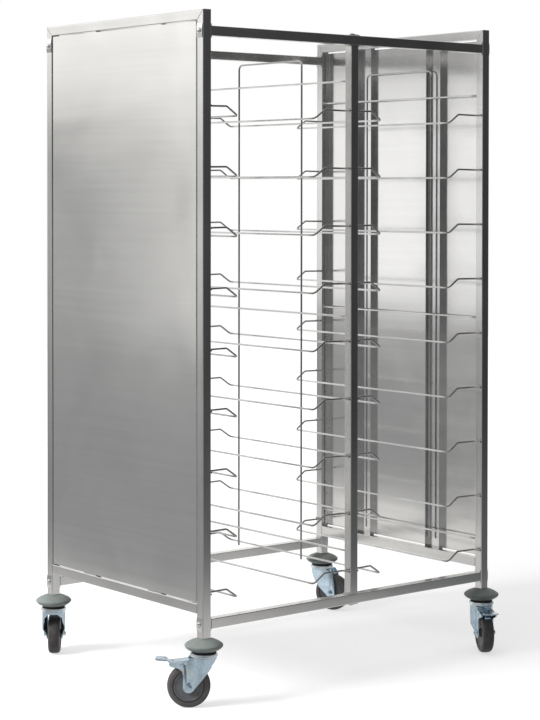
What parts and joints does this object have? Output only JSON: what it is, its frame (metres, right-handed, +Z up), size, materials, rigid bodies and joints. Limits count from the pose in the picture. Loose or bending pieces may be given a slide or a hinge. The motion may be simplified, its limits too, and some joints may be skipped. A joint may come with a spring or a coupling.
{
  "type": "enclosed meal tray cart",
  "caption": "Tall stainless tray cart with closed sheet-metal sides, open front and rear, two bays of wire tray runners and swivel casters with bumper discs.",
  "frame": {"origin": "on the floor, under the middle of the frame of tubes", "axes": "+X to the right and +Y to the rear as seen by someone facing the open front, +Z up"},
  "size_m": [1.1173, 0.8636, 1.7105],
  "materials": {
    "tube_steel": "satin stainless",
    "sheet_steel": "satin stainless sheet",
    "rack_wire": "electropolished",
    "bright_fastener": "bright",
    "zinc_plate": "bright zinc plate",
    "bumper_rubber": "matt",
    "seal_rubber": "matt",
    "wheel_hub": "matt",
    "wheel_tyre": "matt"
  },
  "bodies": {
    "frame": {"left_front_post": "tube_steel", "left_rear_post": "tube_steel", "right_front_post": "tube_steel", "right_rear_post": "tube_steel", "front_middle_post": "tube_steel", "rear_middle_post": "tube_steel", "left_top_rail": "tube_steel", "left_bottom_rail": "tube_steel", "right_top_rail": "tube_steel", "right_bottom_rail": "tube_steel", "front_top_rail": "tube_steel", "front_bottom_rail": "tube_steel", "rear_top_rail": "tube_steel", "rear_bottom_rail": "tube_steel", "left_side_panel": "sheet_steel", "right_side_panel": "sheet_steel", "left_panel_channels": "sheet_steel", "right_panel_channels": "sheet_steel", "left_rack_hoop": "rack_wire", "middle_rack_hoop": "rack_wire", "right_rack_hoop": "rack_wire", "rack_cross_wires": "rack_wire", "left_tray_runners": "rack_wire", "middle_left_tray_runners": "rack_wire", "middle_right_tray_runners": "rack_wire", "right_tray_runners": "rack_wire", "outer_saddle_plates": "tube_steel", "inner_saddle_plates": "tube_steel", "frame_bolts": "bright_fastener", "threaded_plugs": "zinc_plate", "caster_plugs": "zinc_plate", "caster_bumpers": "bumper_rubber", "caster_seals": "seal_rubber", "caster_stems": "zinc_plate", "caster_heads": "zinc_plate", "caster_balls": "bright_fastener"},
    "front_left_swivel": {"front_left_fork": "zinc_plate", "front_left_axle": "bright_fastener", "front_left_sleeve": "bright_fastener", "front_left_brake_pin": "bright_fastener"},
    "front_left_wheel": {"front_left_hub": "wheel_hub", "front_left_tyre": "wheel_tyre"},
    "front_left_brake": {"front_left_brake_pedal": "zinc_plate"},
    "front_right_swivel": {"front_right_fork": "zinc_plate", "front_right_axle": "bright_fastener", "front_right_sleeve": "bright_fastener", "front_right_brake_pin": "bright_fastener"},
    "front_right_wheel": {"front_right_hub": "wheel_hub", "front_right_tyre": "wheel_tyre"},
    "front_right_brake": {"front_right_brake_pedal": "zinc_plate"},
    "rear_left_swivel": {"rear_left_fork": "zinc_plate", "rear_left_axle": "bright_fastener", "rear_left_sleeve": "bright_fastener"},
    "rear_left_wheel": {"rear_left_hub": "wheel_hub", "rear_left_tyre": "wheel_tyre"},
    "rear_right_swivel": {"rear_right_fork": "zinc_plate", "rear_right_axle": "bright_fastener", "rear_right_sleeve": "bright_fastener"},
    "rear_right_wheel": {"rear_right_hub": "wheel_hub", "rear_right_tyre": "wheel_tyre"}
  },
  "joints": [
    {"name": "front_left_swivel_turn", "type": "hinge", "parent": "frame", "child": "front_left_swivel", "pos_m": [-0.4825, -0.3375, 0.1705], "axis": [0, 0, 1], "continuous": true},
    {"name": "front_left_wheel_spin", "type": "hinge", "parent": "front_left_swivel", "child": "front_left_wheel", "pos_m": [-0.51166, -0.31472, 0.0535], "axis": [-0.6157, -0.788, 0], "continuous": true},
    {"name": "front_left_brake_press", "type": "hinge", "parent": "front_left_swivel", "child": "front_left_brake", "pos_m": [-0.51835, -0.30949, 0.1115], "axis": [-0.6157, -0.788, 0], "range_deg": [0, 4.5]},
    {"name": "front_right_swivel_turn", "type": "hinge", "parent": "frame", "child": "front_right_swivel", "pos_m": [0.4825, -0.3375, 0.1705], "axis": [0, 0, 1], "continuous": true},
    {"name": "front_right_wheel_spin", "type": "hinge", "parent": "front_right_swivel", "child": "front_right_wheel", "pos_m": [0.46344, -0.36922, 0.0535], "axis": [0.8572, -0.515, 0], "continuous": true},
    {"name": "front_right_brake_press", "type": "hinge", "parent": "front_right_swivel", "child": "front_right_brake", "pos_m": [0.45907, -0.3765, 0.1115], "axis": [0.8572, -0.515, 0], "range_deg": [0, 4.5]},
    {"name": "rear_left_swivel_turn", "type": "hinge", "parent": "frame", "child": "rear_left_swivel", "pos_m": [-0.4825, 0.3375, 0.1705], "axis": [0, 0, 1], "continuous": true},
    {"name": "rear_left_wheel_spin", "type": "hinge", "parent": "rear_left_swivel", "child": "rear_left_wheel", "pos_m": [-0.46023, 0.36705, 0.0535], "axis": [-0.7986, 0.6018, 0], "continuous": true},
    {"name": "rear_right_swivel_turn", "type": "hinge", "parent": "frame", "child": "rear_right_swivel", "pos_m": [0.4825, 0.3375, 0.1705], "axis": [0, 0, 1], "continuous": true},
    {"name": "rear_right_wheel_spin", "type": "hinge", "parent": "rear_right_swivel", "child": "rear_right_wheel", "pos_m": [0.49755, 0.3037, 0.0535], "axis": [0.9135, 0.4067, 0], "continuous": true}
  ]
}
